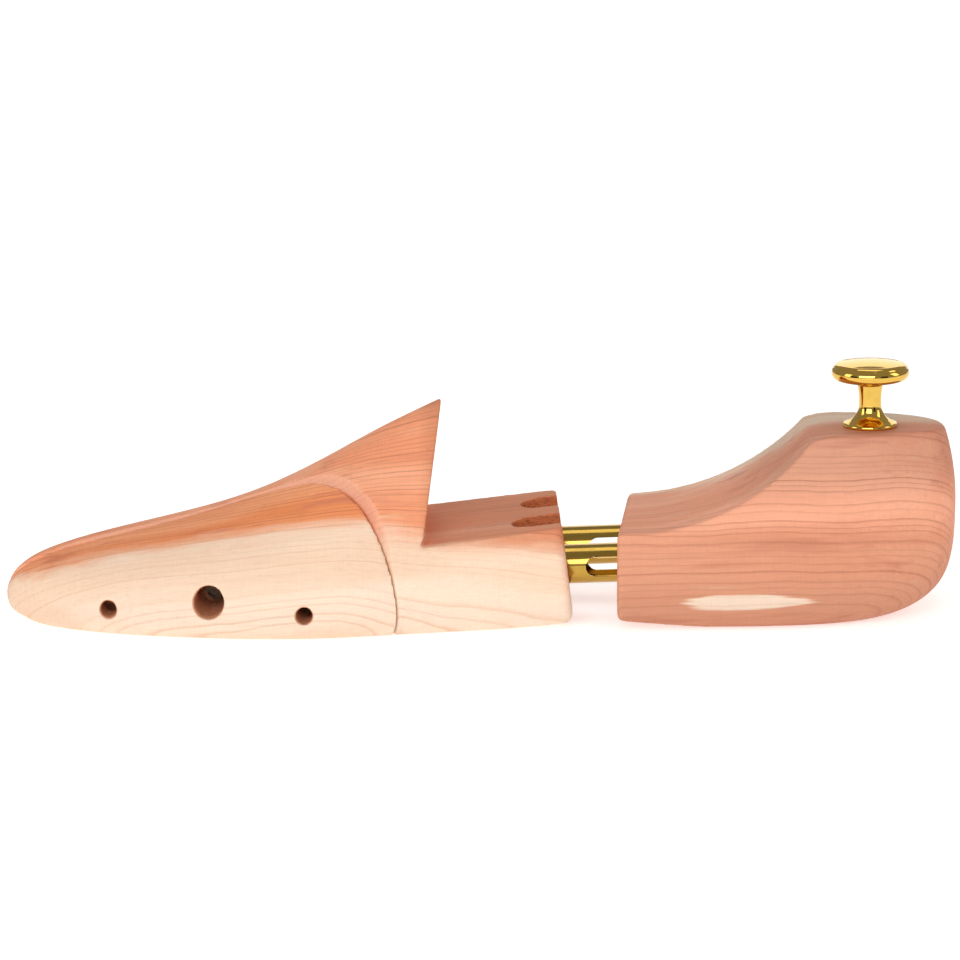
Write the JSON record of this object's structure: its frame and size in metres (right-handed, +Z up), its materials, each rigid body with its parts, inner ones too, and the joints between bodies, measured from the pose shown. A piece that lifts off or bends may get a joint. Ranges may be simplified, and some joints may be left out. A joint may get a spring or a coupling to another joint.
{
  "type": "shoe tree",
  "caption": "Cedar shoe tree: a forepart with a sprung split toe, two slotted brass tubes, and a sliding sprung heel block with a turned brass knob.",
  "frame": {"origin": "middle of the footprint box, on the surface that the tree stands on", "axes": "+X from toe to heel, +Y towards the fixed half of the toe, +Z up"},
  "size_m": [0.2897, 0.0871, 0.0768],
  "materials": {
    "cedar_forepart": "finely sanded, unvarnished aromatic cedar, pink heartwood over cream sapwood",
    "cedar_toe": "finely sanded, unvarnished aromatic cedar, mostly cream sapwood",
    "cedar_heel": "finely sanded, unvarnished aromatic cedar, pink heartwood with a cream edge",
    "brass_tube": "bright brass plating on drawn steel tube",
    "polished_brass": "turned and mirror polished",
    "dark_steel": "dark oiled steel wire",
    "spring_steel": "black oiled spring steel"
  },
  "bodies": {
    "forepart": {"forepart_block": "cedar_forepart", "front_guide_pin": "dark_steel", "rear_guide_pin": "dark_steel", "toe_screw": "dark_steel", "toe_spring": "spring_steel", "rear_brad": "dark_steel", "far_tube": "brass_tube", "near_tube": "brass_tube", "tube_nails": "dark_steel"},
    "toe": {"toe_half": "cedar_toe"},
    "heel": {"heel_block": "cedar_heel", "stop_pin": "dark_steel", "far_heel_spring": "spring_steel", "near_heel_spring": "spring_steel", "knob": "polished_brass", "knob_stud": "dark_steel"}
  },
  "joints": [
    {"name": "toe_spread", "type": "hinge", "parent": "forepart", "child": "toe", "pos_m": [-0.0253, -0.0383, 0], "axis": [0, 0, 1], "range_deg": [-3.7, 0], "stiffness_Nm_per_rad": 2, "springref_deg": 6.88, "deforming": ["toe_spring"]},
    {"name": "heel_slide", "type": "slide", "parent": "forepart", "child": "heel", "axis": [-0.9983, 0.0462, -0.0349], "range_m": [0, 0.012], "stiffness_N_per_m": 900, "springref_m": -0.02, "deforming": ["far_heel_spring", "near_heel_spring"]}
  ]
}
